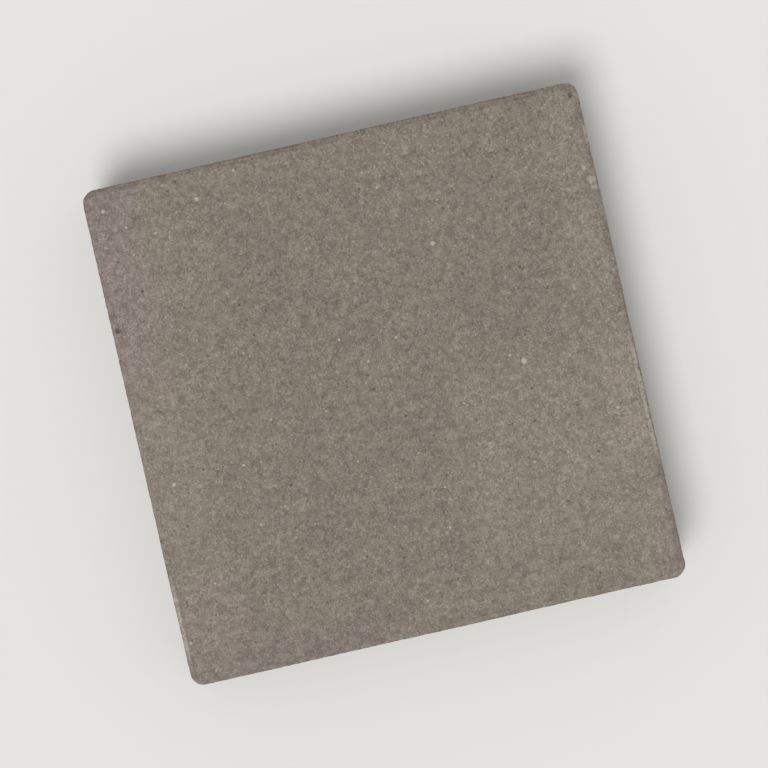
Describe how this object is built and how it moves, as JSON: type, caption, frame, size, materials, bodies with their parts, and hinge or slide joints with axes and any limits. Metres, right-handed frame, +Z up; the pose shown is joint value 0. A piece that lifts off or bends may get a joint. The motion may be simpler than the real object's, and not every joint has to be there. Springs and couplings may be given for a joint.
{
  "type": "concrete paving stone",
  "caption": "Square flat concrete paving stone with rounded corners, a shallow bevel round the walking face and plain upright sides for close joints.",
  "frame": {"origin": "middle of the bedding face, the underside that the stone lies on", "axes": "+Z up through the thickness to the walking face, X and Y along the sides of the square plan"},
  "size_m": [0.298, 0.298, 0.05],
  "materials": {
    "concrete": "weathered warm grey-taupe concrete with a fine sand grain, matt"
  },
  "bodies": {
    "root": {"paving_slab": "concrete"}
  },
  "joints": []
}
